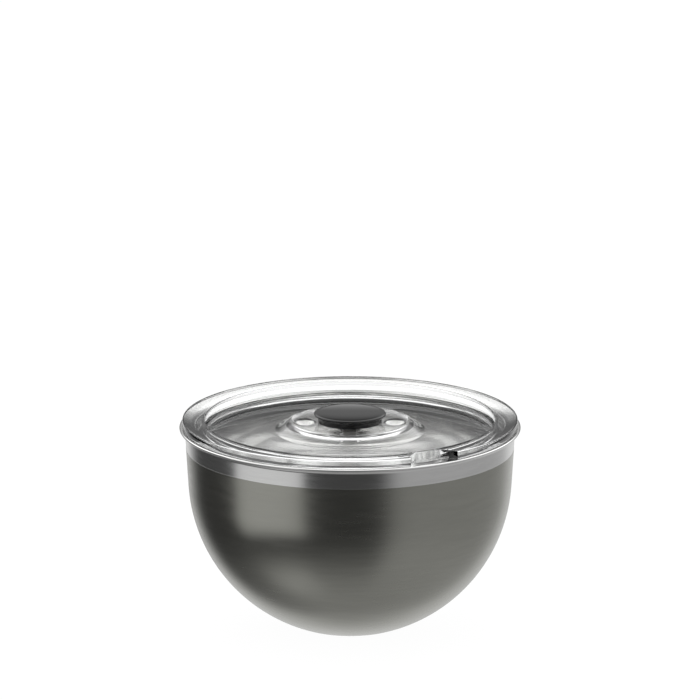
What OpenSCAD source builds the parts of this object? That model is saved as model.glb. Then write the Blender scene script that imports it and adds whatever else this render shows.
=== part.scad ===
// Insulated double-wall steel bowl with a clear lid and a vent knob.
// The origin is on the table at the middle of the base, and +Z runs up the axis.
// The front of the bowl faces -Y.

/* [Bowl] */
// Height from the table to the top of the rim
bowl_h = 115.3; // [100:0.1:135]
// Radius of the round belly
belly_r = 91.75; // [85:0.05:100]
// Radius of the flat that the bowl stands on
base_r = 28.8; // [26:0.1:34]
// Lean of the upper wall away from upright, in degrees
wall_draft = 3.7; // [2:0.1:5]
// Thickness of the steel sheet
sheet_t = 0.7; // [0.5:0.05:1]
// Width of the airless gap between the two walls
vacuum_gap = 6; // [5:0.25:8]
// Height of the bare steel band under the rim
band_h = 12.3; // [8:0.1:20]
// Thickness of the tinted coat below that band
coat_t = 0.08; // [0.04:0.01:0.15]

/* [Rim] */
// Radius of the hollow curve under the rim
flare_r = 2.6; // [1.5:0.1:3.5]
// Width of the flat land between that curve and the rim's edge
rim_land = 0.7; // [0.7:0.05:2]
// Radius of the bend from the rim down into the bowl
mouth_bend_r = 4; // [1.5:0.1:5]

/* [Inside] */
// Radius of the bend between the inner bowl's belly and its floor
floor_bend_r = 20; // [10:1:30]

/* [Base] */
// Width of the standing edge round the pressed recess
base_edge_w = 4.8; // [4:0.1:8]
// Depth of that recess
recess_h = 1.2; // [1:0.05:2]
// Thickness of the cover disc in the recess
cover_t = 0.6; // [0.4:0.05:0.8]
// Radius of the dimple round the evacuation port
dimple_r = 5; // [4:0.1:8]
// Height of the dimple
dimple_h = 1.8; // [1:0.1:2.2]
// Radius of the evacuation port
port_r = 1.2; // [0.8:0.1:2]
// Radius of the gas-absorbing tablet
getter_r = 4; // [3:0.1:5]
// Thickness of the tablet
getter_t = 1.8; // [1:0.1:2]
// Distance of the tablet's middle inside the edge of the recess
getter_inset = 9.5; // [8:0.1:11]
// Thickness of the pan that holds the tablet
pan_t = 0.35; // [0.2:0.05:0.5]

/* [Lid ring] */
// Distance of the lid's edge inside the rim's edge
lid_setback = 1.75; // [0.8:0.05:3]
// Height of the lid's ring above the rim
lid_rise = 4.7; // [3.5:0.1:7]
// Thickness of the lid's walls inside its solid ring
lid_wall = 1.7; // [1.2:0.1:2.2]
// Rounding of the ring's edges
lid_edge_r = 0.8; // [0.4:0.05:1]
// Space between the bowl's mouth and the lid's inner wall
mouth_space = 2; // [1.6:0.1:3]
// Direction of the finger notch, in degrees to the right of the front
notch_angle = 29; // [0:1:60]
// Radius of the finger notch
notch_r = 12.7; // [10:0.1:14]
// Thickness of the ring left behind the notch
notch_web = 1.2; // [0.8:0.1:2]

/* [Lid well] */
// Depth of the well below the rim at its outer wall
well_drop = 3; // [2:0.1:5]
// Depth of the well below the rim at the foot of the hub
hub_foot_drop = 1.7; // [1:0.1:3]
// Rounding between the well's wall and its floor
well_fillet_r = 1.6; // [0.8:0.1:2.5]
// Radius of the raised hub
hub_r = 33; // [30:0.1:38]
// Height of the hub's top above the rim
hub_rise = 2.6; // [2:0.1:3.5]
// Height of the soft crest round the hub's edge
hub_crest_h = 0.8; // [0.4:0.1:1.2]
// Width of the curved flank between the crest and the well's floor
hub_flank_w = 10; // [7:0.5:13]
// Depth of the two fingertip pockets in the hub
pocket_depth = 2.6; // [1.5:0.1:3]
// Opening of each fingertip pocket, in degrees
pocket_span = 36; // [24:1:60]
// Number of vent holes in the hub
vent_count = 6; // [3:1:8]
// Radius of a vent hole
vent_hole_r = 1.6; // [1:0.1:2]
// Radius of the circle of vent holes
vent_circle_r = 10.5; // [9.5:0.1:12]

/* [Gasket] */
// Depth of the lid's inner skirt below the rim
skirt_drop = 9.8; // [9.5:0.1:13]
// Thickness of the two flanges that hold the gasket
flange_t = 1.1; // [0.8:0.1:1.5]
// How far the flanges stand out
flange_w = 0.9; // [0.6:0.1:1.1]
// Thickness of the gasket's band
gasket_band_t = 0.7; // [0.5:0.05:1]
// Thickness of a gasket fin
fin_t = 0.7; // [0.4:0.05:0.9]
// Number of gasket fins
fin_count = 2; // [2:1:4]
// Running space between a fin's tip and the bowl
fin_space = 0.3; // [0.2:0.05:0.5]

/* [Knob] */
// Radius of the knob's cap
cap_r = 20.45; // [19.5:0.05:22]
// Thickness of the cap
cap_t = 1.5; // [1.2:0.05:1.8]
// Height of the cap's face above the rim
cap_rise = 8.1; // [7.6:0.1:10]
// Depth of the shallow dish in the cap's face
cap_dish = 0.25; // [0.1:0.05:0.4]
// Radius of the collar under the cap
collar_r = 18.1; // [17:0.1:18.6]
// Thickness of the collar's wall
collar_wall = 2; // [1.5:0.1:2.5]
// Thickness of the collar's web
web_t = 1.1; // [0.8:0.1:1.3]
// Number of grip teeth round the collar
tooth_count = 72; // [48:4:96]
// Depth of a grip tooth
tooth_depth = 0.25; // [0.1:0.05:0.4]
// Thickness of the vent seal
seal_t = 1.4; // [1:0.1:1.6]
// Gap under the collar's edge when the seal is down
seal_squeeze_gap = 0.3; // [0.2:0.05:0.5]

/* [Stem] */
// Radius of the stem
stem_r = 4; // [3.5:0.1:4.5]
// Radius of the stem's head
head_r = 8; // [7:0.1:10]
// Thickness of the stem's head
head_t = 0.9; // [0.6:0.05:1]
// Running space between the stem and its guide
stem_play = 0.06; // [0.03:0.01:0.1]
// Wall of the guide tube
guide_wall = 2; // [1.5:0.1:2.5]
// Depth of the guide's lower end below the rim
guide_drop = 4; // [3.5:0.1:5]
// Travel of the knob
vent_travel = 4; // [3:0.1:4.5]
// Section radius of the ring on the stem
o_ring_r = 0.7; // [0.5:0.05:0.9]
// Radius of the retaining clip
clip_r = 6.2; // [5.5:0.1:7]
// Thickness of the retaining clip
clip_t = 0.9; // [0.6:0.05:1.1]

/* [Hidden] */
$fn = 128;

// Overrun of every cut past the face that it opens
overrun = 0.5;
// Close fit between pieces that are pushed or glued together
snug = 0.05;
// Turn between two points of the belly's arc and of a small bend's arc, in degrees
belly_step = 3;
bend_step = 15;
// Number of straight parts in a soft step of the lid's section
soft_parts = 6;
// Height of the grip teeth, as a share of the collar's height
teeth_share = 0.5;
// Height of the solder bead's foot, as a share of the dimple's height
bead_share = 0.5;

// Bowl
sheet_inset = coat_t + sheet_t;
base_inset = sheet_inset + vacuum_gap;
inner_inset = base_inset + sheet_t;
ball_z = sqrt(pow(belly_r, 2) - pow(base_r, 2));
band_z = bowl_h - band_h;
wall_a = 180 - wall_draft;
flare_z = bowl_h - 2 * sheet_t - flare_r;
flare_x = wall_r(flare_z + flare_r * sin(wall_draft), coat_t) + flare_r * cos(wall_draft);
rim_r = flare_x + rim_land;
bend_z = bowl_h - mouth_bend_r;
bend_x = wall_r(bend_z + mouth_bend_r * sin(wall_draft), inner_inset) + mouth_bend_r * cos(wall_draft);
mouth_r = bend_x - mouth_bend_r;
floor_z = base_inset - coat_t;
recess_r = base_r - base_edge_w;
getter_x = recess_r - getter_inset;

// Lid
lid_r = rim_r - lid_setback;
lid_top_z = bowl_h + lid_rise;
well_out_r = mouth_r - mouth_space;
well_in_r = well_out_r - lid_wall;
notch_x = well_in_r + notch_web + notch_r;
well_z = bowl_h - well_drop;
hub_foot_z = bowl_h - hub_foot_drop;
hub_foot_r = hub_r + hub_flank_w;
hub_top_z = bowl_h + hub_rise;
crest_z = hub_top_z + hub_crest_h;
skirt_z = bowl_h - skirt_drop;
guide_z = bowl_h - guide_drop;
bore_r = stem_r + stem_play;
pocket_floor_z = hub_top_z - pocket_depth;
pocket_in_r = collar_r + lid_wall;
pocket_out_r = hub_r - lid_wall;

// Gasket, between the two flanges of the lid's inner skirt
groove_low_z = skirt_z + flange_t;
groove_top_z = well_z - lid_wall - flange_t;
fin_pitch = (groove_top_z - groove_low_z - fin_t) / (fin_count - 1);

// Knob
cap_top_z = bowl_h + cap_rise;
collar_top_z = cap_top_z - cap_t;
collar_low_z = hub_top_z + seal_squeeze_gap;
web_z = hub_top_z + seal_t;
head_z = web_z + web_t;
collar_in_r = collar_r - collar_wall;
clip_top_z = guide_z - vent_travel - snug;
clip_z = clip_top_z - clip_t;
stem_end_z = clip_z - clip_t;
clip_groove_r = stem_r - clip_t;
o_ring_z = (hub_top_z + guide_z) / 2;
o_ring_mid_r = bore_r - snug - o_ring_r;
o_ring_groove_r = o_ring_mid_r - o_ring_r - snug;

// Radius of the leaning wall at a height, for a surface that lies inset below the outer face
function wall_r(z, inset) = (belly_r - inset) / cos(wall_draft) + (z - ball_z) * tan(wall_draft);

// Point at an angle round a centre
function polar(centre, r, a) = [centre[0] + r * cos(a), centre[1] + r * sin(a)];

// Points of an arc round a centre, from one angle to another
function arc(centre, r, a0, a1, step) =
    let (n = ceil(abs(a1 - a0) / step))
    [for (i = [0:n]) polar(centre, r, a0 + (a1 - a0) * i / n)];

// The same points in the other order, and the points after the first
function reversed(points) = [for (i = [len(points) - 1:-1:0]) points[i]];
function rest(points) = [for (i = [1:len(points) - 1]) points[i]];

// Belly's arc at an inset, between the height of a level floor and the start of the leaning wall
function belly_arc(inset, z) =
    arc([0, ball_z], belly_r - inset, asin((z - ball_z) / (belly_r - inset)), -wall_draft, belly_step);

// The same with a bend of radius r between floor and belly
function bent_belly_arc(inset, z, r) =
    let (ball_r = belly_r - inset)
    let (a = asin((z + r - ball_z) / (ball_r - r)))
    concat(
        arc(polar([0, ball_z], ball_r - r, a), r, -90, a, bend_step),
        rest(arc([0, ball_z], ball_r, a, -wall_draft, belly_step))
    );

// Soft step from one point towards another, level at both ends and without the last point
function soft_step(p, q) = [
    for (i = [0:soft_parts - 1])
        let (t = i / soft_parts)
        [p[0] + (q[0] - p[0]) * t, p[1] + (q[1] - p[1]) * (1 - cos(180 * t)) / 2]
];

// Section of the outer shell, up its outer face, round the rim's lower edge and down its inner face
module outer_shell_profile() {
    flare = [flare_x, flare_z];
    port_z = recess_h + dimple_h;
    polygon(concat(
        [[port_r, port_z], [dimple_r, recess_h], [recess_r, recess_h], [recess_r, 0]],
        belly_arc(0, 0),
        [[wall_r(band_z, 0), band_z], [wall_r(band_z, coat_t), band_z]],
        arc(flare, flare_r, wall_a, 90, bend_step),
        arc([rim_r - sheet_t, bowl_h - sheet_t], sheet_t, -90, 0, bend_step),
        arc(flare, flare_r + sheet_t, 90, wall_a, bend_step),
        reversed(belly_arc(sheet_inset, sheet_t)),
        [[recess_r + sheet_t, sheet_t], [recess_r + sheet_t, recess_h + sheet_t],
         [dimple_r, recess_h + sheet_t], [port_r, port_z + sheet_t]]
    ));
}

module outer_shell() {
    color([0.30, 0.30, 0.27]) rotate_extrude() outer_shell_profile();
}

// Section of the inner bowl, up its vacuum side, round the rim's upper edge and down its inside
module inner_bowl_profile() {
    bend = [bend_x, bend_z];
    polygon(concat(
        [[0, floor_z]],
        bent_belly_arc(base_inset, floor_z, floor_bend_r + sheet_t),
        arc(bend, mouth_bend_r - sheet_t, wall_a, 90, bend_step),
        arc([rim_r - sheet_t, bowl_h - sheet_t], sheet_t, 0, 90, bend_step),
        arc(bend, mouth_bend_r, 90, wall_a, bend_step),
        reversed(bent_belly_arc(inner_inset, floor_z + sheet_t, floor_bend_r)),
        [[0, floor_z + sheet_t]]
    ));
}

module inner_bowl() {
    color([0.74, 0.74, 0.73]) rotate_extrude() inner_bowl_profile();
}

// Disc that hides the port, glued to the roof of the recess
module base_cover() {
    color([0.70, 0.70, 0.69]) translate([0, 0, recess_h - cover_t])
        cylinder(h = cover_t, r = recess_r - snug);
}

// Solder bead in the dimple, which fills the port
module seal_bead() {
    foot_h = dimple_h * bead_share;
    foot_r = dimple_r - (dimple_r - port_r) * bead_share;
    color([0.45, 0.42, 0.36]) rotate_extrude() translate([0, recess_h])
        polygon([[0, foot_h], [foot_r - snug, foot_h], [port_r - snug, dimple_h],
                 [port_r - snug, dimple_h + sheet_t], [0, dimple_h + sheet_t]]);
}

module getter_pan() {
    color([0.66, 0.66, 0.65]) translate([getter_x, 0, recess_h + sheet_t]) difference() {
        cylinder(h = getter_t, r = getter_r + snug + pan_t);
        translate([0, 0, pan_t]) cylinder(h = getter_t, r = getter_r + snug);
    }
}

module getter() {
    color([0.25, 0.25, 0.26]) translate([getter_x, 0, recess_h + sheet_t + pan_t])
        cylinder(h = getter_t, r = getter_r);
}

// Section of the lid, over the solid ring and into the well, across the hub, and back below
module lid_profile() {
    e = lid_edge_r;
    f = well_fillet_r;
    hub_in_r = hub_r - 2 * lid_wall;
    guide_out_r = bore_r + guide_wall;
    flange_r = well_out_r + flange_w;
    polygon(concat(
        [[well_out_r, bowl_h], [lid_r, bowl_h]],
        arc([lid_r - e, lid_top_z - e], e, 0, 90, bend_step),
        arc([well_in_r + e, lid_top_z - e], e, 90, 180, bend_step),
        arc([well_in_r - f, well_z + f], f, 0, -90, bend_step),
        soft_step([hub_foot_r, hub_foot_z], [hub_r, crest_z]),
        soft_step([hub_r, crest_z], [hub_in_r, hub_top_z]),
        [[hub_in_r, hub_top_z], [bore_r, hub_top_z], [bore_r, guide_z], [guide_out_r, guide_z],
         [guide_out_r, hub_top_z - lid_wall]],
        soft_step([hub_r, hub_top_z - lid_wall], [hub_foot_r, hub_foot_z - lid_wall]),
        [[hub_foot_r, hub_foot_z - lid_wall], [well_in_r, well_z - lid_wall], [well_in_r, skirt_z],
         [flange_r, skirt_z], [flange_r, groove_low_z], [well_out_r, groove_low_z],
         [well_out_r, groove_top_z], [flange_r, groove_top_z], [flange_r, groove_top_z + flange_t],
         [well_out_r, groove_top_z + flange_t]]
    ));
}

// Rectangle between two radii and two heights
module block(x0, x1, z0, z1) {
    polygon([[x0, z0], [x1, z0], [x1, z1], [x0, z1]]);
}

// Sector round the axis between two radii and two heights, centred on +X
module arc_block(in_r, out_r, z0, z1, span) {
    rotate([0, 0, -span / 2]) rotate_extrude(angle = span) block(in_r, out_r, z0, z1);
}

// Finger notch, open towards the lid's edge
module notch_cut() {
    rotate([0, 0, notch_angle - 90]) translate([notch_x, 0, bowl_h])
        cylinder(h = lid_rise + overrun, r = notch_r);
}

// Pan of a fingertip pocket that hangs under the hub
module pocket_pan() {
    pan_span = pocket_span + 2 * asin(lid_wall / pocket_in_r);
    arc_block(pocket_in_r - lid_wall, hub_r - lid_wall / 2, pocket_floor_z - lid_wall,
              hub_top_z - lid_wall / 2, pan_span);
}

module pocket_cut() {
    arc_block(pocket_in_r, pocket_out_r, pocket_floor_z, crest_z + overrun, pocket_span);
}

module vent_cut() {
    translate([vent_circle_r, 0, guide_z])
        cylinder(h = hub_top_z - guide_z + overrun, r = vent_hole_r);
}

module lid_shell() {
    color([0.86, 0.88, 0.88, 0.45]) difference() {
        union() {
            rotate_extrude() lid_profile();
            for (side = [0, 180]) rotate([0, 0, side]) pocket_pan();
        }
        notch_cut();
        for (side = [0, 180]) rotate([0, 0, side]) pocket_cut();
        for (i = [0:vent_count - 1]) rotate([0, 0, i * 360 / vent_count]) vent_cut();
    }
}

// Silicone band with fins that follow the lean of the bowl's wall
module lid_gasket() {
    band_in_r = well_out_r + snug;
    band_out_r = band_in_r + gasket_band_t;
    fins = [
        for (i = [0:fin_count - 1])
            let (z = groove_low_z + i * fin_pitch)
            let (tip_r = wall_r(z, inner_inset) - fin_space)
            each [[band_out_r, z], [tip_r, z + fin_t / 4],
                  [tip_r, z + fin_t * 3 / 4], [band_out_r, z + fin_t]]
    ];
    color([0.80, 0.81, 0.80, 0.8]) rotate_extrude()
        polygon(concat([[band_in_r, groove_low_z]], fins, [[band_in_r, groove_top_z]]));
}

// Disc with a half-round edge and a shallow dish, and the spigot that locks it in the collar
module knob_cap() {
    edge_r = cap_t / 2;
    spigot_r = collar_in_r - snug;
    spigot_in_r = spigot_r - collar_wall;
    color([0.05, 0.05, 0.05]) rotate_extrude() polygon(concat(
        [[0, collar_top_z], [spigot_in_r, collar_top_z], [spigot_in_r, head_z], [spigot_r, head_z],
         [spigot_r, collar_top_z]],
        arc([cap_r - edge_r, collar_top_z + edge_r], edge_r, -90, 90, bend_step),
        [[collar_in_r, cap_top_z - cap_dish], [0, cap_top_z - cap_dish]]
    ));
}

// Outline of the grip teeth round the collar
function tooth_points() = [
    for (i = [0:2 * tooth_count - 1])
        polar([0, 0], collar_r - (i % 2) * tooth_depth, i * 180 / tooth_count)
];

module knob_collar() {
    teeth_h = (collar_top_z - collar_low_z) * teeth_share;
    color([0.07, 0.07, 0.07]) difference() {
        union() {
            translate([0, 0, collar_low_z]) linear_extrude(teeth_h) polygon(tooth_points());
            translate([0, 0, collar_low_z + teeth_h])
                cylinder(h = collar_top_z - collar_low_z - teeth_h, r = collar_r);
        }
        translate([0, 0, head_z]) cylinder(h = cap_rise, r = collar_in_r);
        translate([0, 0, collar_low_z - overrun])
            cylinder(h = web_z - collar_low_z + overrun, r = collar_in_r);
        translate([0, 0, collar_low_z]) cylinder(h = cap_rise, r = stem_r + snug);
    }
}

module vent_seal() {
    color([0.16, 0.16, 0.16]) translate([0, 0, hub_top_z]) difference() {
        cylinder(h = seal_t, r = collar_in_r - snug);
        translate([0, 0, -overrun]) cylinder(h = seal_t + 2 * overrun, r = stem_r + snug);
    }
}

module knob_stem() {
    groove_h = 2 * (o_ring_r + snug);
    color([0.90, 0.90, 0.87]) rotate_extrude() difference() {
        union() {
            block(0, stem_r, stem_end_z, head_z + head_t);
            block(0, head_r, head_z, head_z + head_t);
        }
        block(o_ring_groove_r, stem_r + overrun, o_ring_z - groove_h / 2, o_ring_z + groove_h / 2);
        block(clip_groove_r, stem_r + overrun, clip_z, clip_top_z);
    }
}

module stem_o_ring() {
    color([0.80, 0.81, 0.80]) translate([0, 0, o_ring_z]) rotate_extrude()
        translate([o_ring_mid_r, 0]) circle(o_ring_r, $fn = 32);
}

// Open clip pushed on from the side
module retaining_clip() {
    mouth_w = 2 * clip_groove_r * cos(30);
    color([0.72, 0.72, 0.72]) translate([0, 0, clip_z]) difference() {
        cylinder(h = clip_t, r = clip_r);
        translate([0, 0, -overrun]) cylinder(h = clip_t + 2 * overrun, r = clip_groove_r + snug);
        translate([0, -mouth_w / 2, -overrun]) cube([clip_r + overrun, mouth_w, clip_t + 2 * overrun]);
    }
}

outer_shell();
inner_bowl();
base_cover();
seal_bead();
getter_pan();
getter();
lid_shell();
lid_gasket();
knob_cap();
knob_collar();
vent_seal();
knob_stem();
stem_o_ring();
retaining_clip();
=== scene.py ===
# %% [markdown]
# # A double-wall steel bowl with a clear lid
#
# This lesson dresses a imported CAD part. The part's solids say where everything is and how it
# moves. Blender gives each visible piece a finer surface and its finish. Sizes are in millimetres
# here, because a maker thinks of sheet metal that way, and one factor turns them into metres.

# %% Open the frame
import math

import bmesh
import bpy
from mathutils import Matrix, Vector


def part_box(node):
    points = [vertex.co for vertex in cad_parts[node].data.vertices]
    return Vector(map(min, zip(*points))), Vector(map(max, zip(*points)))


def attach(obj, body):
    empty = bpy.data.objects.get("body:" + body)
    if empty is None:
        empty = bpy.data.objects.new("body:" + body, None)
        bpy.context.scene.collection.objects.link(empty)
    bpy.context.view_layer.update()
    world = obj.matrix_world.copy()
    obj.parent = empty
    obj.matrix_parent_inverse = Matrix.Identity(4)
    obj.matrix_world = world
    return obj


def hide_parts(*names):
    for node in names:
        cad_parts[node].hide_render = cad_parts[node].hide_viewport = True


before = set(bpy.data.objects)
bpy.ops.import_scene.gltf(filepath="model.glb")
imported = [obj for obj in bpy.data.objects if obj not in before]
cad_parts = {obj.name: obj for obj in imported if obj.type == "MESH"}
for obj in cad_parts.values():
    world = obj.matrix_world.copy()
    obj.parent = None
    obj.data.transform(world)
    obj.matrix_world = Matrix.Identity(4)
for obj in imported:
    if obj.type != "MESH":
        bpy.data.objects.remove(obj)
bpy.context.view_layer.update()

MM = 0.001

# %% [markdown]
# ## Measures
#
# The heights and radii that the pieces share are read from the CAD nodes, so a dressed piece can't
# drift away from the solid under it. The few that a box can't give, such as the thickness of the
# sheet, are written down once.

# %% Read the main measures from the frame


def low(node):
    """Lowest corner of a CAD node in millimetres."""
    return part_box(node)[0] / MM


def high(node):
    """Highest corner of a CAD node in millimetres."""
    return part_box(node)[1] / MM


SHEET = 0.7
COAT = 0.08
DRAFT_DEGREES = 3.7
DRAFT = math.radians(DRAFT_DEGREES)
rim_top = high("inner_bowl").z
rim_r = high("inner_bowl").x
lid_top = high("lid_shell").z
lid_r = high("lid_shell").x
skirt_z = low("lid_shell").z
collar_low = low("knob_collar").z
collar_top = high("knob_collar").z
collar_r = high("knob_collar").x
cap_top = high("knob_cap").z
cap_r = high("knob_cap").x
hub_top = low("vent_seal").z
print(f"rim {rim_r:.2f} x {rim_top:.2f}, lid {lid_r:.2f} x {lid_top:.2f}, "
      f"cap {cap_r:.2f} x {cap_top:.2f}")

# %% [markdown]
# ## Turning a section
#
# Spun steel, a moulded round lid and a knob all have one thing in common: each is a section turned
# round an axis. So one helper does most of the modelling. It takes a closed outline in the plane of
# radius and height and spins it. Blender's Screw modifier could do it too, but writing the faces
# directly lets each stretch of the outline carry its own finish.

# %% Helpers for outlines
ON_AXIS = 1e-6
NEARLY_STRAIGHT = 0.02


def arc(centre, radius, start, end, step=5.0):
    """Points of an arc in the plane of radius and height, between two angles in degrees."""
    count = max(2, math.ceil(abs(end - start) / step))
    angles = [math.radians(start + (end - start) * i / count) for i in range(count + 1)]
    return [(centre[0] + radius * math.cos(a), centre[1] + radius * math.sin(a)) for a in angles]


def rounded(points, radii, step=15.0):
    """An outline with rounded corners: one radius for each point, and 0 for a sharp corner."""
    made = []
    for i, (corner, radius) in enumerate(zip(points, radii)):
        here = Vector(corner)
        before = (Vector(points[i - 1]) - here).normalized()
        after = (Vector(points[(i + 1) % len(points)]) - here).normalized()
        half = before.angle(after) / 2
        if radius == 0 or abs(half - math.pi / 2) < NEARLY_STRAIGHT:
            made.append(tuple(here))
            continue
        reach = radius / math.tan(half)
        centre = here + (before + after).normalized() * (radius / math.sin(half))
        first, last = here + before * reach - centre, here + after * reach - centre
        turn = first.angle_signed(last)
        count = max(2, math.ceil(math.degrees(abs(turn)) / step))
        for k in range(count + 1):
            spoke = first.copy()
            spoke.rotate(Matrix.Rotation(-turn * k / count, 2))
            made.append(tuple(centre + spoke))
    return made


def rounded_corners(corners, step=15.0):
    """The same for corners that are written as (radius, height, rounding)."""
    return rounded([corner[:2] for corner in corners], [corner[2] for corner in corners], step)


def soft_step(start, end, parts=20):
    """Points of a soft step between two points, level at both ends and without the last one."""
    made = []
    for i in range(parts):
        t = i / parts
        made.append((start[0] + (end[0] - start[0]) * t,
                     start[1] + (end[1] - start[1]) * (1 - math.cos(math.pi * t)) / 2))
    return made


def turned(outline, segments=256, wobble=None):
    """A bmesh of a closed outline spun round Z.

    A point of the outline is (radius, height) or (radius, height, finish). Wobble is a function of
    radius, height and angle that says how far a point moves outwards.
    """
    built = bmesh.new()
    rings = []
    for point in outline:
        r, z = point[0], point[1]
        if r < ON_AXIS:
            rings.append([built.verts.new((0, 0, z * MM))])
            continue
        ring = []
        for i in range(segments):
            a = 2 * math.pi * i / segments
            reach = (r + (wobble(r, z, a) if wobble else 0)) * MM
            ring.append(built.verts.new((reach * math.cos(a), reach * math.sin(a), z * MM)))
        rings.append(ring)
    for k, ring in enumerate(rings):
        after = rings[(k + 1) % len(rings)]
        if len(ring) == 1 and len(after) == 1:
            continue
        finish = outline[k][2] if len(outline[k]) > 2 else 0
        for i in range(segments):
            j = (i + 1) % segments
            corners = [ring[i % len(ring)], ring[j % len(ring)],
                       after[j % len(after)], after[i % len(after)]]
            unique = list(dict.fromkeys(corners))
            built.faces.new(unique).material_index = finish
    bmesh.ops.recalc_face_normals(built, faces=built.faces)
    return built


def new_piece(name, mesh_builder, body, materials, sharp=35.0):
    """An object from a filled bmesh, smooth but for its sharp edges, riding on a CAD body."""
    mesh = bpy.data.meshes.new(name)
    mesh_builder.to_mesh(mesh)
    mesh_builder.free()
    for polygon in mesh.polygons:
        polygon.use_smooth = True
    mesh.set_sharp_from_angle(angle=math.radians(sharp))
    for material in materials:
        mesh.materials.append(material)
    piece = bpy.data.objects.new(name, mesh)
    bpy.context.scene.collection.objects.link(piece)
    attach(piece, body)
    print(f"{name}: {len(mesh.polygons)} faces")
    return piece


# %% [markdown]
# ## Node helpers
#
# A finish is a small network of shader nodes. Writing `link(a, b)` by hand for every wire hides the
# idea, so one helper places a node, sets its plain values and wires its inputs in one line.

# %% Helpers for nodes


def add(tree, kind, inputs=None, **settings):
    """A new node of a tree. Inputs are plain values or the output sockets that feed them."""
    made = tree.nodes.new(kind)
    for key, value in settings.items():
        setattr(made, key, value)
    feed(tree, made, inputs or {})
    return made


def feed(tree, node, inputs):
    """Sets a node's inputs: an output socket is linked, anything else is a plain value."""
    for key, value in inputs.items():
        if isinstance(value, bpy.types.NodeSocket):
            tree.links.new(value, node.inputs[key])
        else:
            node.inputs[key].default_value = value


def maths(tree, operation, a, b=0.0):
    """The output of one Math node."""
    return add(tree, "ShaderNodeMath", {0: a, 1: b}, operation=operation).outputs[0]


def ramp(tree, value, low_in, high_in, low_out=0.0, high_out=1.0, smooth=True):
    """A value carried from one range to another, with soft ends."""
    kind = "SMOOTHSTEP" if smooth else "LINEAR"
    inputs = {"Value": value, "From Min": low_in, "From Max": high_in,
              "To Min": low_out, "To Max": high_out}
    return add(tree, "ShaderNodeMapRange", inputs, interpolation_type=kind).outputs["Result"]


def spread_round(tree, value, middle, spread):
    """A value from 0 to 1 carried to a range round a middle."""
    return ramp(tree, value, 0.0, 1.0, middle - spread, middle + spread, smooth=False)


def new_group(name, inputs, outputs):
    """A shader node group with named number inputs and named outputs, and its two end nodes."""
    group = bpy.data.node_groups.new(name, "ShaderNodeTree")
    kind = "NodeSocketFloat"
    for label, value in inputs.items():
        socket = group.interface.new_socket(label, in_out="INPUT", socket_type=kind)
        socket.default_value = value
    for label in outputs:
        group.interface.new_socket(label, in_out="OUTPUT", socket_type=kind)
    return group, group.nodes.new("NodeGroupInput"), group.nodes.new("NodeGroupOutput")


def new_material(name):
    """A material with a Principled shader, and its tree and shader."""
    material = bpy.data.materials.new(name)
    material.use_nodes = True
    tree = material.node_tree
    tree.nodes.clear()
    shader = tree.nodes.new("ShaderNodeBsdfPrincipled")
    add(tree, "ShaderNodeOutputMaterial", {"Surface": shader.outputs[0]})
    return material, tree, shader


def place(tree, group, **inputs):
    """One use of a node group, with its own values."""
    made = tree.nodes.new("ShaderNodeGroup")
    made.node_tree = group
    feed(tree, made, inputs)
    return made


def shade_of(tree, factor, dark, light):
    """A colour between two greys or tints."""
    node = add(tree, "ShaderNodeMix", {"Factor": factor}, data_type="RGBA")
    node.inputs[6].default_value = (*dark, 1)
    node.inputs[7].default_value = (*light, 1)
    return node.outputs[2]


def fine_bump(tree, height, depth, strength=1.0):
    """A normal from a height, for a grain that is so many millimetres deep."""
    inputs = {"Height": height, "Strength": strength, "Distance": depth * MM}
    return add(tree, "ShaderNodeBump", inputs).outputs[0]


def object_noise(tree, scale, **settings):
    """Noise in the object's own space. Settings are further inputs of the Noise node."""
    inputs = {"Vector": add(tree, "ShaderNodeTexCoord").outputs["Object"], "Scale": scale}
    return add(tree, "ShaderNodeTexNoise", {**inputs, **settings}).outputs[0]


# %% [markdown]
# ## Brush lines
#
# The bowl is brushed on a lathe: a belt touches it while it turns, and leaves short scratches that
# run round the axis. Seen close, they are fine lines. Seen from afar, they smear every reflection
# up and down. The group makes noise that is stretched round the axis, from the angle and from the
# distance along the wall, and puts out a height for the bump and a streak value for the colour.

# %% Group: lines that run round the axis
AXIS_GUARD = 0.001
spun_lines, start, end = new_group(
    "spun_lines", {"Lines": 2400.0, "Length": 7.0}, ["Height", "Streak"])
position = add(spun_lines, "ShaderNodeTexCoord").outputs["Object"]
axes = add(spun_lines, "ShaderNodeSeparateXYZ", {0: position}).outputs
squares = [maths(spun_lines, "MULTIPLY", axes[k], axes[k]) for k in (0, 1)]
from_axis = maths(spun_lines, "SQRT", maths(spun_lines, "ADD", *squares))
safe = maths(spun_lines, "MAXIMUM", from_axis, AXIS_GUARD)
turns = [maths(spun_lines, "DIVIDE", axes[k], safe) for k in (0, 1)]
round_x, round_y = [maths(spun_lines, "MULTIPLY", t, start.outputs["Length"]) for t in turns]
travel = maths(spun_lines, "ADD", from_axis, axes[2])
along = maths(spun_lines, "MULTIPLY", travel, start.outputs["Lines"])
spread = add(spun_lines, "ShaderNodeCombineXYZ", {0: round_x, 1: round_y, 2: along}).outputs[0]
fine = add(spun_lines, "ShaderNodeTexNoise",
           {"Vector": spread, "Scale": 1.0, "Detail": 3.0, "Roughness": 0.6})
spun_lines.links.new(fine.outputs[0], end.inputs["Height"])
wide = add(spun_lines, "ShaderNodeVectorMath", {0: spread, 1: (0.5, 0.5, 0.13)},
           operation="MULTIPLY").outputs[0]
broad = add(spun_lines, "ShaderNodeTexNoise",
            {"Vector": wide, "Scale": 1.0, "Detail": 4.0, "Roughness": 0.7})
spun_lines.links.new(broad.outputs[0], end.inputs["Streak"])

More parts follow.
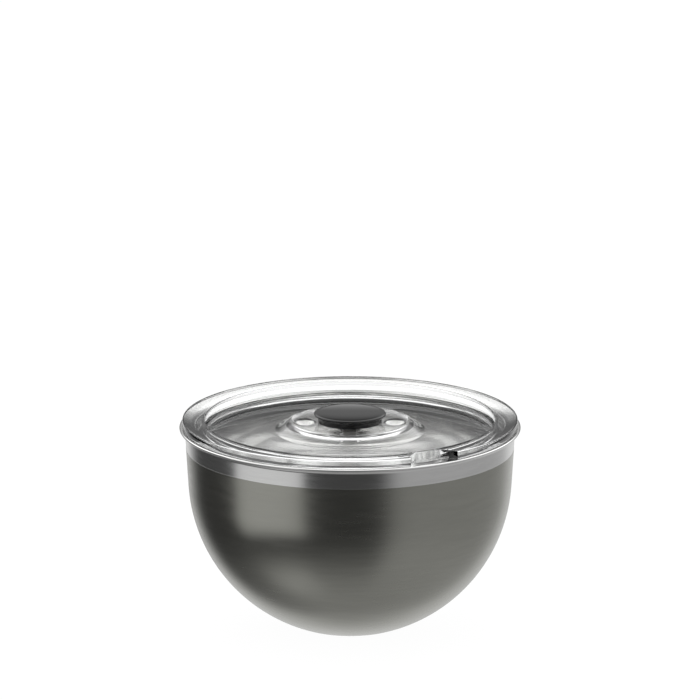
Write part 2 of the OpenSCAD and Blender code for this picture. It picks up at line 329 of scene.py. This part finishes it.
# %% [markdown]
# ## Handling marks
#
# No real surface is equally smooth all over. Hands and cloths leave faint patches where the gloss
# changes a little. The group is soft noise with a named size, used in every finish below.

# %% Group: faint patches
handling, start, end = new_group("handling", {"Size": 18.0}, ["Patch"])
blur = object_noise(handling, start.outputs["Size"], Detail=3.0, Roughness=0.55)
handling.links.new(ramp(handling, blur, 0.35, 0.68), end.inputs["Patch"])

# %% [markdown]
# ## Steel finishes
#
# Bare brushed steel and the tinted coat share the same lines, because the coat is only a few
# hundredths thick and follows them. Metal takes its colour from Base Color. Anisotropy stretches
# the highlight across the lines, and its direction comes from a tangent that runs round Z.

# %% Make the steel finishes
STREAK_SHARE = 0.6


def steel(name, dark, light, rough, rough_spread, lines, depth, anisotropy):
    """A brushed metal. Dark and light are the colours between which the streaks run."""
    material, tree, shader = new_material(name)
    grain = place(tree, spun_lines, Lines=lines)
    patch = place(tree, handling)
    streak = ramp(tree, grain.outputs["Streak"], 0.3, 0.7)
    uneven = maths(tree, "ADD", maths(tree, "MULTIPLY", streak, STREAK_SHARE),
                   maths(tree, "MULTIPLY", patch.outputs[0], 1.0 - STREAK_SHARE))
    feed(tree, shader, {
        "Base Color": shade_of(tree, streak, dark, light),
        "Metallic": 1.0,
        "Roughness": spread_round(tree, uneven, rough, rough_spread),
        "Anisotropic": anisotropy,
        "Tangent": add(tree, "ShaderNodeTangent", direction_type="RADIAL", axis="Z").outputs[0],
        "Normal": fine_bump(tree, grain.outputs["Height"], depth),
    })
    return material


brushed_band = steel("brushed_band", (0.60, 0.60, 0.595), (0.64, 0.64, 0.635), rough=0.20,
                     rough_spread=0.03, lines=2600.0, depth=0.002, anisotropy=0.45)
tinted_coat = steel("tinted_coat", (0.305, 0.305, 0.277), (0.325, 0.325, 0.295), rough=0.25,
                    rough_spread=0.03, lines=2600.0, depth=0.002, anisotropy=0.35)
satin_inside = steel("satin_inside", (0.83, 0.83, 0.82), (0.86, 0.86, 0.85), rough=0.10,
                     rough_spread=0.015, lines=1500.0, depth=0.0001, anisotropy=0.0)
cover_face = steel("cover_face", (0.54, 0.54, 0.53), (0.62, 0.62, 0.61), rough=0.3,
                   rough_spread=0.05, lines=1800.0, depth=0.006, anisotropy=0.5)
print("steel finishes:", [m.name for m in bpy.data.materials])

# %% [markdown]
# ## The outer wall
#
# A disc of steel is drawn into a deep cup, its upper edge is rolled out under the rim, and its base
# is pressed in. Everything below a line under the rim then gets the tinted coat. The section is
# walked once: up the coated wall, over the bare band, round the rolled edge and back down inside.

# %% Turn the outer wall
BELLY = 91.75
BELLY_STEP = 1.5
BASE_R = 28.8
BASE_BEVEL = 0.4
BAND = 12.3
COAT_STEP = 0.02
FLARE = 2.6
COVER_GAP = 0.05
DIMPLE_R = 5.0
PORT_R = 1.2
ball_z = math.sqrt(BELLY**2 - BASE_R**2)
band_z = rim_top - BAND


def wall_r(z, inset):
    """Radius of the leaning wall at a height, for a face that lies inset below the outer one."""
    return (BELLY - inset) / math.cos(DRAFT) + (z - ball_z) * math.tan(DRAFT)


def belly(inset, z):
    """The round belly from a level floor at height z up to the leaning wall."""
    r = BELLY - inset
    return arc((0, ball_z), r, math.degrees(math.asin((z - ball_z) / r)), -DRAFT_DEGREES,
               BELLY_STEP)


def bent_belly(inset, z, bend):
    """The same with a bend between floor and belly."""
    r = BELLY - inset
    a = math.asin((z + bend - ball_z) / (r - bend))
    meeting = math.degrees(a)
    centre = ((r - bend) * math.cos(a), ball_z + (r - bend) * math.sin(a))
    above = arc((0, ball_z), r, meeting, -DRAFT_DEGREES, BELLY_STEP)
    return arc(centre, bend, -90, meeting, 2) + above[1:]


flare_z = rim_top - 2 * SHEET - FLARE
flare_r = wall_r(flare_z + FLARE * math.sin(DRAFT), COAT) + FLARE * math.cos(DRAFT)
flare_at = (flare_r, flare_z)
rim_bend_at = (rim_r - SHEET, rim_top - SHEET)
wall_angle = 180 - DRAFT_DEGREES
recess_r = high("base_cover").x + COVER_GAP
recess_z = high("base_cover").z
port_top = high("seal_bead").z - SHEET

coated = [(recess_r, recess_z), (recess_r, BASE_BEVEL), (recess_r + BASE_BEVEL, 0)] + belly(0, 0)
bare = [(wall_r(band_z + COAT_STEP, COAT), band_z)]
bare += arc(flare_at, FLARE, wall_angle, 90)
bare += arc(rim_bend_at, SHEET, -90, 0, 10)[1:]
bare += arc(flare_at, FLARE + SHEET, 90, wall_angle)
bare += belly(COAT + SHEET, SHEET)[::-1]
bare += [(recess_r + SHEET, SHEET), (recess_r + SHEET, recess_z + SHEET)]
bare += [(DIMPLE_R, recess_z + SHEET), (PORT_R, port_top + SHEET)]
bare += [(PORT_R, port_top), (DIMPLE_R, recess_z)]
wall_outline = [(r, z, 0) for r, z in bare] + [(r, z, 1) for r, z in coated]
wall_outline += [(wall_r(band_z, 0), band_z, 0)]
outer_wall = new_piece("outer_wall", turned(wall_outline), "bowl",
                       [brushed_band, tinted_coat])
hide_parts("outer_shell")

# %% [markdown]
# ## The inner bowl
#
# The inside is a second, smaller drawing. Its upper edge bends out into the flat rim that the lid
# sits on, and it is welded to the outer wall all round that rim. A soft bend joins wall and floor.

# %% Turn the inner bowl
MOUTH_BEND = 4.0
FLOOR_BEND = 20.0
GAP = 6.0
FLOOR_SHARES = (0.66, 0.33, 0)
inner_inset = COAT + SHEET + GAP + SHEET
vacuum_inset = inner_inset - SHEET
bend_z = rim_top - MOUTH_BEND
bend_r = wall_r(bend_z + MOUTH_BEND * math.sin(DRAFT), inner_inset) + MOUTH_BEND * math.cos(DRAFT)
bend_at = (bend_r, bend_z)
floor_z = low("inner_bowl").z
section = [(0, floor_z)] + bent_belly(vacuum_inset, floor_z, FLOOR_BEND + SHEET)
section += arc(bend_at, MOUTH_BEND - SHEET, wall_angle, 90, 10)
section += arc(rim_bend_at, SHEET, 0, 90, 10)
section += arc(bend_at, MOUTH_BEND, 90, wall_angle, 5)
inside = bent_belly(inner_inset, floor_z + SHEET, FLOOR_BEND)[::-1]
floor_r = inside[-1][0]
section += inside + [(floor_r * share, floor_z + SHEET) for share in FLOOR_SHARES]
inner_wall = new_piece("inner_wall", turned(section), "bowl", [satin_inside])
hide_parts("inner_bowl")
mouth_r = bend_r - MOUTH_BEND
print(f"mouth radius {mouth_r:.2f} mm")

# %% [markdown]
# ## Clear plastic
#
# The lid is one moulding in clear copolyester. Glass and clear plastic are the same shader: full
# transmission and an index of refraction. Such a moulding is never quite flat, so a very long, very
# low wave goes into the normal, and it bends the reflections a little as the real one does.

# %% Make the clear plastic
clear_plastic, tree, shader = new_material("clear_plastic")
wave = object_noise(tree, 45.0, Detail=1.0)
haze = place(tree, handling, Size=30.0).outputs[0]
feed(tree, shader, {
    "Base Color": shade_of(tree, haze, (0.985, 0.99, 0.988), (1.0, 1.0, 1.0)),
    "Metallic": 0.0,
    "Transmission Weight": 1.0,
    "IOR": 1.52,
    "Roughness": ramp(tree, haze, 0.0, 1.0, 0.0, 0.012, smooth=False),
    "Normal": fine_bump(tree, wave, 0.03),
})

# %% [markdown]
# ## The lid
#
# Its section has a thick ring that stands on the rim, a skirt that reaches into the mouth, a sunk
# well, and a hub in the middle that carries the knob. The hub rises in a soft slope to a low crest.
# All of that is turned as one outline, because a lid that is in one piece bends light as one piece.
# Then the finger notch, the two fingertip pockets and the vent holes are cut with booleans, the way
# a mould has separate cores for them.

# %% Measures of the lid
WALL = 1.7
SKIRT_GAP = 2.0
WELL_DEPTH = 3.0
HUB_FOOT_DEPTH = 1.7
HUB_R = 33.0
HUB_SLOPE = 10.0
CREST = 0.8
BORE_R = 4.06
GUIDE_WALL = 2.0
GUIDE_DEPTH = 4.0
FOOT_GAP = 0.03
LIP = 0.9
LIP_HEIGHT = 1.1
well_out = mouth_r - SKIRT_GAP
well_in = well_out - WALL
well_z = rim_top - WELL_DEPTH
well_under = well_z - WALL
hub_foot = rim_top - HUB_FOOT_DEPTH
hub_in = HUB_R - 2 * WALL
hub_out = HUB_R + HUB_SLOPE
hub_under = hub_top - WALL
crest_z = hub_top + CREST
guide_z = rim_top - GUIDE_DEPTH
guide_r = BORE_R + GUIDE_WALL
foot = rim_top + FOOT_GAP
lip_r = well_out + LIP
print(f"well radius {well_in:.2f} mm, crest at {crest_z:.2f} mm")

# %% [markdown]
# The outline goes round the section once: over the ring and down into the well, up the hub and into
# its bore, back below the hub, and round the skirt, whose two lips hold the gasket. Each corner is
# written as radius, height and rounding.

# %% Section of the lid


def plain(points):
    """The points of a curve as corners that aren't rounded any more."""
    return [(r, z, 0) for r, z in points]


ring_and_well = [
    (well_out, foot, 0.3), (lid_r, foot, 0.3), (lid_r, lid_top, 0.8), (well_in, lid_top, 0.8),
    (well_in, well_z, 1.6),
]
hub_above = [
    *plain(soft_step((hub_out, hub_foot), (HUB_R, crest_z))),
    *plain(soft_step((HUB_R, crest_z), (hub_in, hub_top))),
    (hub_in, hub_top, 0),
]
bore_and_guide = [
    (BORE_R, hub_top, 0.2), (BORE_R, guide_z, 0.2), (guide_r, guide_z, 0.3),
    (guide_r, hub_under, 0.5),
]
hub_below = [
    *plain(soft_step((HUB_R, hub_under), (hub_out, hub_foot - WALL))),
    (hub_out, hub_foot - WALL, 0),
]
skirt_and_lips = [
    (well_in, well_under, 0.6), (well_in, skirt_z, 0.3),
    (lip_r, skirt_z, 0.3), (lip_r, skirt_z + LIP_HEIGHT, 0.2),
    (well_out, skirt_z + LIP_HEIGHT, 0.1), (well_out, well_under - LIP_HEIGHT, 0.1),
    (lip_r, well_under - LIP_HEIGHT, 0.2), (lip_r, well_under, 0.2), (well_out, well_under, 0.2),
]
lid_outline = rounded_corners(
    ring_and_well + hub_above + bore_and_guide + hub_below + skirt_and_lips)
print("lid section:", len(lid_outline), "points")

# %% [markdown]
# The cutters are meshes too. The notch cutter is a turned post whose top opens out a little, so
# that it leaves a rounded edge on the ring. A pocket cutter is the lower part of an egg shape,
# which suits a fingertip. Blender's manifold boolean solver is quick on dense closed meshes.

# %% Cut and join helpers


def solid(name, built, at=(0, 0, 0)):
    """A plain object for a boolean, not part of the scene's pieces."""
    mesh = bpy.data.meshes.new(name)
    bmesh.ops.translate(built, verts=built.verts, vec=Vector(at) * MM)
    built.to_mesh(mesh)
    built.free()
    made = bpy.data.objects.new(name, mesh)
    bpy.context.scene.collection.objects.link(made)
    return made


def combine(target, tool, operation):
    """Applies one boolean to the target's mesh and deletes the tool."""
    modifier = target.modifiers.new("cut", "BOOLEAN")
    modifier.operation, modifier.object, modifier.solver = operation, tool, "MANIFOLD"
    graph = bpy.context.evaluated_depsgraph_get()
    done = bpy.data.meshes.new_from_object(target.evaluated_get(graph))
    target.modifiers.clear()
    target.data = done
    bpy.data.objects.remove(tool)


# %% [markdown]
# A pocket is a scoop, and a pan of the same shape, one wall thicker, hangs under the hub. So the
# two pans are joined to the lid first, and the two scoops are cut after them.

# %% Add the fingertip pockets
SCOOP_R = 25.5
SCOOP_HALF = (7.2, 10.0)
SCOOP_DEPTH = 2.6
SCOOP_RISE = 4.0
shell = solid("lid", turned(lid_outline))


def scoop(grow, top):
    """A bmesh of the lower part of an egg shape, below the height top."""
    built = bmesh.new()
    bmesh.ops.create_uvsphere(built, u_segments=64, v_segments=48, radius=1.0)
    half = (SCOOP_HALF[0] + grow, SCOOP_HALF[1] + grow, SCOOP_DEPTH + SCOOP_RISE + grow)
    for v in built.verts:
        v.co = Vector((SCOOP_R + v.co.x * half[0], v.co.y * half[1],
                       hub_top + SCOOP_RISE + v.co.z * half[2])) * MM
    everything = built.verts[:] + built.edges[:] + built.faces[:]
    bmesh.ops.bisect_plane(built, geom=everything, plane_co=(0, 0, top * MM),
                           plane_no=(0, 0, 1), clear_outer=True)
    bmesh.ops.holes_fill(built, edges=[e for e in built.edges if e.is_boundary])
    bmesh.ops.recalc_face_normals(built, faces=built.faces)
    return built


for operation, grow, top in (("UNION", WALL, hub_top - 0.2), ("DIFFERENCE", 0.0, hub_top + 1.0)):
    for side in (0, math.pi):
        tool = solid("scoop", scoop(grow, top))
        tool.data.transform(Matrix.Rotation(side, 4, "Z"))
        combine(shell, tool, operation)

# %% Cut the vent holes and the finger notch
HOLES = 6
HOLE_R = 1.6
HOLE_CIRCLE = 10.5
NOTCH = math.radians(30.5 - 90)
NOTCH_R = 16.5
NOTCH_EDGE = 0.4
NOTCH_WEB = 1.0
for k in range(HOLES):
    a = math.radians(360 / HOLES * k)
    post = [(0, guide_z), (HOLE_R, guide_z), (HOLE_R, hub_top + 1), (0, hub_top + 1)]
    hole_at = (HOLE_CIRCLE * math.cos(a), HOLE_CIRCLE * math.sin(a), 0)
    combine(shell, solid("hole", turned(post, 32), hole_at), "DIFFERENCE")

notch_x = well_in + NOTCH_WEB + NOTCH_R
notch_at = (notch_x * math.cos(NOTCH), notch_x * math.sin(NOTCH), 0)
edge_at = (NOTCH_R + NOTCH_EDGE, lid_top - NOTCH_EDGE)
post = [(0, foot - 0.01), (NOTCH_R, foot - 0.01)]
post += arc(edge_at, NOTCH_EDGE, 180, 90, 15)
post += [(NOTCH_R + NOTCH_EDGE, lid_top + 1), (0, lid_top + 1)]
combine(shell, solid("notch", turned(post, 128), notch_at), "DIFFERENCE")

# %% Hand the lid over


def put_in_order(built):
    """Sorts a bmesh by place, because the solver's threads leave an order that can change."""
    for parts, place_of in ((built.verts, lambda v: v.co),
                            (built.edges, lambda e: e.verts[0].co + e.verts[1].co),
                            (built.faces, lambda f: f.calc_center_median())):
        in_order = sorted(parts, key=lambda part: tuple(place_of(part)))
        rank = {part: k for k, part in enumerate(in_order)}
        parts.sort(key=rank.get)


built = bmesh.new()
built.from_mesh(shell.data)
bmesh.ops.remove_doubles(built, verts=built.verts, dist=1e-7)
put_in_order(built)
bpy.data.objects.remove(shell)
clear_lid = new_piece("clear_lid", built, "lid", [clear_plastic])
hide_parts("lid_shell")

# %% [markdown]
# ## The wiper gasket
#
# A soft silicone ring snaps into the groove of the skirt. Two thin fins lean on the steel and hold
# the lid. Silicone lets light through but scatters it, so it is a rough clear material.

# %% Turn the gasket
clear_silicone, tree, shader = new_material("clear_silicone")
skin = place(tree, handling, Size=60.0).outputs[0]
pits = object_noise(tree, 900.0)
feed(tree, shader, {
    "Base Color": shade_of(tree, skin, (0.95, 0.96, 0.95), (0.98, 0.98, 0.98)),
    "Metallic": 0.0,
    "Transmission Weight": 1.0,
    "IOR": 1.3,
    "Roughness": ramp(tree, skin, 0.0, 1.0, 0.28, 0.38, smooth=False),
    "Normal": fine_bump(tree, pits, 0.01, strength=0.4),
})

FINS = 2
FIN = 0.7
FIN_SHORT = 0.3
FIN_ROOT = 0.25
SOFT = 0.15
groove_low, groove_top = low("lid_gasket").z, high("lid_gasket").z
band_in, band_out = well_out + 0.05, well_out + 0.75
corners = [(band_in, groove_low, SOFT)]
for k in range(FINS):
    z = groove_low + k * (groove_top - groove_low - FIN) / (FINS - 1)
    tip = wall_r(z, inner_inset) - FIN_SHORT
    below = 0.0 if k == 0 else FIN_ROOT
    above = 0.0 if k == FINS - 1 else FIN_ROOT
    corners += [(band_out, z, below), (tip, z + FIN * 0.25, SOFT), (tip, z + FIN * 0.75, SOFT),
                (band_out, z + FIN, above)]
corners += [(band_in, groove_top, SOFT)]
gasket = new_piece("wiper_gasket", turned(rounded_corners(corners, 20)), "lid",
                   [clear_silicone])
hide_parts("lid_gasket")

# %% [markdown]
# ## The knob
#
# A glossy disc sits on a collar with fine upright teeth. Fingertips lift it by the collar, which
# opens the vent. Black plastic has almost no colour of its own: all that one sees is gloss, so its
# roughness matters more than its colour. The same helper makes the undyed plastic of the stem and
# the grey silicone of the seal, because all of them come out of a mould with a fine grain.

# %% Make the moulded finishes
LIGHTER = 1.5


def moulded(name, colour, rough, rough_spread, grain_size, grain_depth):
    """A moulded plastic or rubber, with the fine texture of its mould."""
    material, tree, shader = new_material(name)
    patch = place(tree, handling, Size=55.0).outputs[0]
    grain = object_noise(tree, grain_size, Detail=2.0)
    feed(tree, shader, {
        "Base Color": shade_of(tree, grain, colour, tuple(c * LIGHTER for c in colour)),
        "Metallic": 0.0,
        "Roughness": spread_round(tree, patch, rough, rough_spread),
        "Normal": fine_bump(tree, grain, grain_depth),
    })
    return material


gloss_black = moulded("gloss_black", (0.002, 0.002, 0.002), rough=0.06, rough_spread=0.01,
                      grain_size=900.0, grain_depth=0.0002)
satin_black = moulded("satin_black", (0.002, 0.002, 0.002), rough=0.13, rough_spread=0.02,
                      grain_size=1500.0, grain_depth=0.001)
natural_plastic = moulded("natural_plastic", (0.55, 0.55, 0.53), rough=0.35, rough_spread=0.04,
                          grain_size=1200.0, grain_depth=0.002)
grey_silicone = moulded("grey_silicone", (0.045, 0.045, 0.045), rough=0.5, rough_spread=0.05,
                        grain_size=1200.0, grain_depth=0.006)

# %% Turn the cap
COLLAR_WALL = 2.0
SPIGOT_WALL = 2.0
SPIGOT_GAP = 0.05
WEB = 1.1
SEAT_GAP = 0.01
DISH = 0.5
DISH_STEPS = 12
half_edge = (cap_top - collar_top) / 2
flat_r = cap_r - half_edge
collar_in = collar_r - COLLAR_WALL
spigot = collar_in - SPIGOT_GAP
web_z = high("vent_seal").z
head = web_z + WEB
seat = collar_top + SEAT_GAP
cap_outline = [(0, collar_top), (spigot - SPIGOT_WALL, collar_top), (spigot - SPIGOT_WALL, head),
               (spigot, head), (spigot, seat), (collar_r - 0.4, seat)]
cap_outline += arc((flat_r, collar_top + half_edge), half_edge, -90, 90, 10)
for k in range(1, DISH_STEPS + 1):
    r = flat_r * (1 - k / DISH_STEPS)
    cap_outline.append((r, cap_top - DISH * (1 - (r / flat_r) ** 2) ** 0.8))
knob_disc = new_piece("knob_disc", turned(cap_outline), "vent_knob", [gloss_black])
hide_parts("knob_cap")

# %% Turn the collar
TEETH, TOOTH, TOOTH_ROUND = 72, 0.25, 0.7
BEVEL = 0.15
STEM_R = 4.05
teeth_top = collar_low + (collar_top - collar_low) * 0.5


def teeth(r, z, a):
    """How far a point of the collar's outer face is sunk between two teeth."""
    if r < collar_r - 0.1 or z > teeth_top + 0.05:
        return 0.0
    return -TOOTH * (0.5 - 0.5 * math.cos(TEETH * a)) ** TOOTH_ROUND


collar_outline = [
    (STEM_R, web_z), (collar_in, web_z), (collar_in, collar_low + BEVEL),
    (collar_in + BEVEL, collar_low), (collar_r - BEVEL, collar_low),
    (collar_r, collar_low + BEVEL), (collar_r, teeth_top), (collar_r, teeth_top + BEVEL),
    (collar_r, collar_top - 0.05), (collar_r - 0.05, collar_top), (collar_in, collar_top),
    (collar_in, head), (STEM_R, head),
]
knob_neck = new_piece("knob_neck", turned(collar_outline, TEETH * 8, teeth), "vent_knob",
                      [satin_black], 50)
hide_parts("knob_collar")

# %% [markdown]
# ## Pieces that keep their CAD shape
#
# The seal, the stem and its rings sit inside the hub, and the getter and the solder bead are sealed
# in the base. Their solids already have the right shape, so they only need a finish.

# %% Finish the CAD nodes
solder, tree, shader = new_material("solder")
lumps = place(tree, handling, Size=700.0).outputs[0]
feed(tree, shader, {
    "Base Color": shade_of(tree, lumps, (0.24, 0.22, 0.18), (0.36, 0.34, 0.29)),
    "Metallic": 0.6,
    "Roughness": ramp(tree, lumps, 0.0, 1.0, 0.4, 0.6, smooth=False),
})
sinter, tree, shader = new_material("sinter")
grains = place(tree, handling, Size=1800.0).outputs[0]
feed(tree, shader, {
    "Base Color": shade_of(tree, grains, (0.07, 0.07, 0.075), (0.14, 0.14, 0.15)),
    "Metallic": 0.3,
    "Roughness": 0.85,
})
finishes = {
    "base_cover": cover_face,
    "seal_bead": solder,
    "getter_pan": cover_face,
    "getter": sinter,
    "vent_seal": grey_silicone,
    "knob_stem": natural_plastic,
    "stem_o_ring": clear_silicone,
    "retaining_clip": cover_face,
}
for node, material in finishes.items():
    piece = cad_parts[node]
    piece.data.materials.clear()
    piece.data.materials.append(material)
print("CAD nodes with a finish:", sorted(finishes))

# %% [markdown]
# ## The camera
#
# The picture was taken from far away, a little above the rim, so the circles of the lid all have
# nearly the same flatness. A long lens and a great distance give that. The view is level with a
# point above the bowl, which puts the bowl in the lower half of the picture.

# %% Place the camera
ELEVATION, LENS, SENSOR, FRAME_WIDTH, RISE = math.radians(14.6), 1200.0, 36.0, 396.5, 43.2
camera = bpy.data.objects.new("camera", bpy.data.cameras.new("camera"))
bpy.context.scene.collection.objects.link(camera)
camera.data.lens, camera.data.sensor_width = LENS, SENSOR
distance = FRAME_WIDTH * LENS / SENSOR
upward = Vector((0, math.sin(ELEVATION), math.cos(ELEVATION)))
backward = Vector((0, -math.cos(ELEVATION), math.sin(ELEVATION)))
aim = Vector((0, 0, rim_top)) + upward * RISE
camera.location = (aim + backward * distance) * MM
camera.rotation_euler = (math.pi / 2 - ELEVATION, 0, 0)
camera.data.clip_start, camera.data.clip_end = 0.1, 60.0
bpy.context.scene.camera = camera
print(f"camera {distance / 1000:.2f} m away")

# %% [markdown]
# ## Light and surroundings
#
# Metal, gloss and clear plastic show their surroundings, so the studio is drawn in the world. The
# outer wall faces slightly down and mirrors what lies below the rim: a sharp-edged window on the
# left, a broad dimmer one on the right, a backdrop behind, and dark cloth in front. The lid and the
# inside mirror what lies above it: bright sides, a dim front, a backdrop that brightens upwards,
# and a roof.
# The camera itself, and anything seen straight through the clear lid, gets plain white.

# %% Draw the studio in the world
world = bpy.data.worlds.new("studio")
bpy.context.scene.world = world
world.use_nodes = True
tree = world.node_tree
tree.nodes.clear()
direction = add(tree, "ShaderNodeTexCoord").outputs["Generated"]
toward = add(tree, "ShaderNodeSeparateXYZ", {0: direction}).outputs
DEGREES = 180 / math.pi
forward = maths(tree, "MULTIPLY", toward[1], -1.0)
heading = maths(tree, "MULTIPLY", maths(tree, "ARCTAN2", toward[0], forward), DEGREES)
height = maths(tree, "MULTIPLY", maths(tree, "ARCSINE", toward[2]), DEGREES)


def window(centre, half_width, side_soft, lowest, low_soft, highest, high_soft, level):
    """A soft-edged bright area by heading and height in degrees.

    Heading 0 is in front of the bowl, 90 on its right and 180 behind it.
    """
    turn = maths(tree, "MODULO", maths(tree, "ADD", heading, 540.0 - centre), 360.0)
    off = maths(tree, "ABSOLUTE", maths(tree, "SUBTRACT", turn, 180.0))
    across = ramp(tree, off, half_width - side_soft, half_width + side_soft, 1.0, 0.0)
    up = ramp(tree, height, lowest - low_soft, lowest + low_soft)
    down = ramp(tree, height, highest - high_soft, highest + high_soft, 1.0, 0.0)
    return maths(tree, "MULTIPLY", maths(tree, "MULTIPLY", across, level),
                 maths(tree, "MULTIPLY", up, down))


def seen_directly(tree):
    """1 for what the camera sees by itself or straight through clear plastic, and 0 otherwise."""
    path = add(tree, "ShaderNodeLightPath").outputs
    unmirrored = maths(tree, "LESS_THAN", path["Glossy Depth"], 0.5)
    straight_through = maths(tree, "MULTIPLY", path["Is Transmission Ray"], unmirrored)
    return maths(tree, "MAXIMUM", path["Is Camera Ray"], straight_through)


surround = ramp(tree, height, -85.0, -25.0, 0.48, 0.07)
for part in (
    window(-62, 28, 2, -30, 4, 2, 4, 0.78),  # window on the left
    window(-72, 26, 18, -70, 12, -50, 12, 0.37),  # its light on the table
    window(82, 53, 9, -60, 25, 2, 4, 0.42),  # broad window on the right
    window(175, 37, 14, -60, 25, -2, 5, 0.8),  # backdrop below the rim
    window(-92, 55, 22, 7, 5, 60, 15, 1.15),  # left side above the rim
    window(92, 55, 22, 9, 5, 60, 15, 1.15),  # right side above the rim
    window(0, 42, 15, 15, 7, 60, 15, 0.4),  # dim front above the rim
    window(180, 34, 12, 12, 3.5, 60, 15, 0.36),  # foot of the backdrop
    window(180, 50, 15, 19, 3.5, 60, 15, 0.95),  # backdrop above it
    window(0, 200, 5, 65, 12, 100, 5, 1.5),  # roof
):
    surround = maths(tree, "ADD", surround, part)
seen = seen_directly(tree)
mirrored = maths(tree, "MULTIPLY", maths(tree, "SUBTRACT", 1.0, seen), surround)
level = maths(tree, "ADD", seen, mirrored)
background = add(tree, "ShaderNodeBackground", {"Color": (1, 1, 1, 1), "Strength": level})
add(tree, "ShaderNodeOutputWorld", {"Surface": background.outputs[0]})

# %% [markdown]
# The floor is a pale sheet. Its colour is lifted to white for the camera, so that it meets the
# background without an edge, and what is left of its own shading keeps a soft shadow at the foot.
# It can't be seen from below.

# %% Lay the floor
FLOOR_R = 12.0
FLOOR_DROP = 0.0002
FLOOR_LIFT = 0.92
FLOOR_WHITE = 1.06
floor_finish, tree, shader = new_material("pale_floor")
feed(tree, shader, {"Base Color": (0.5, 0.5, 0.5, 1), "Roughness": 0.8})
white = add(tree, "ShaderNodeEmission", {"Color": (1, 1, 1, 1), "Strength": FLOOR_WHITE})
share = maths(tree, "MULTIPLY", seen_directly(tree), FLOOR_LIFT)
lifted = add(tree, "ShaderNodeMixShader", {0: share, 1: shader.outputs[0], 2: white.outputs[0]})
clear = add(tree, "ShaderNodeBsdfTransparent")
back = add(tree, "ShaderNodeNewGeometry").outputs["Backfacing"]
both = add(tree, "ShaderNodeMixShader", {0: back, 1: lifted.outputs[0], 2: clear.outputs[0]})
tree.links.new(both.outputs[0], tree.nodes["Material Output"].inputs["Surface"])
built = bmesh.new()
bmesh.ops.create_circle(built, cap_ends=True, segments=96, radius=FLOOR_R)
mesh = bpy.data.meshes.new("floor")
built.to_mesh(mesh)
built.free()
mesh.materials.append(floor_finish)
floor = bpy.data.objects.new("floor", mesh)
floor.location.z = -FLOOR_DROP
bpy.context.scene.collection.objects.link(floor)
floor.visible_glossy = False

# %% Settings
bpy.context.scene.view_settings.view_transform = "Standard"
